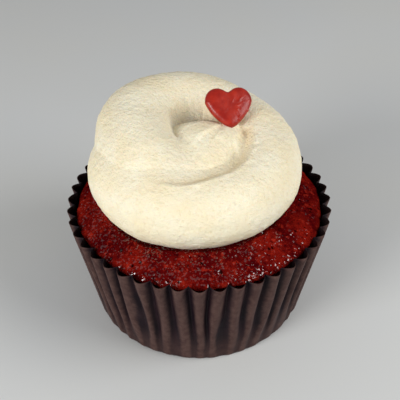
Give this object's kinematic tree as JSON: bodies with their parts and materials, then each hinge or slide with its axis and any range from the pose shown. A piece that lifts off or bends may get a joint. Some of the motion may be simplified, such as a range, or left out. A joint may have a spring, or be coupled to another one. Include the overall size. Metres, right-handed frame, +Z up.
{
  "type": "cupcake",
  "caption": "Red cupcake in a fluted brown paper case, topped with a thick piped swirl of cream frosting and a small candy heart.",
  "frame": {"origin": "centre of the paper case's flat base, on the surface that it stands on", "axes": "+Z up; -Y is the side that the rope of frosting crosses first, and the heart's face leans back from it"},
  "size_m": [0.0736, 0.0736, 0.0654],
  "materials": {
    "brown_paper": "matte, greaseproof",
    "red_sponge": "moist crumb with small glossy spots",
    "cream_frosting": "soft satin, finely streaked",
    "red_candy": "satin with small bumps"
  },
  "bodies": {
    "root": {"paper_case": "brown_paper", "cake": "red_sponge", "frosting": "cream_frosting", "heart": "red_candy"}
  },
  "joints": []
}
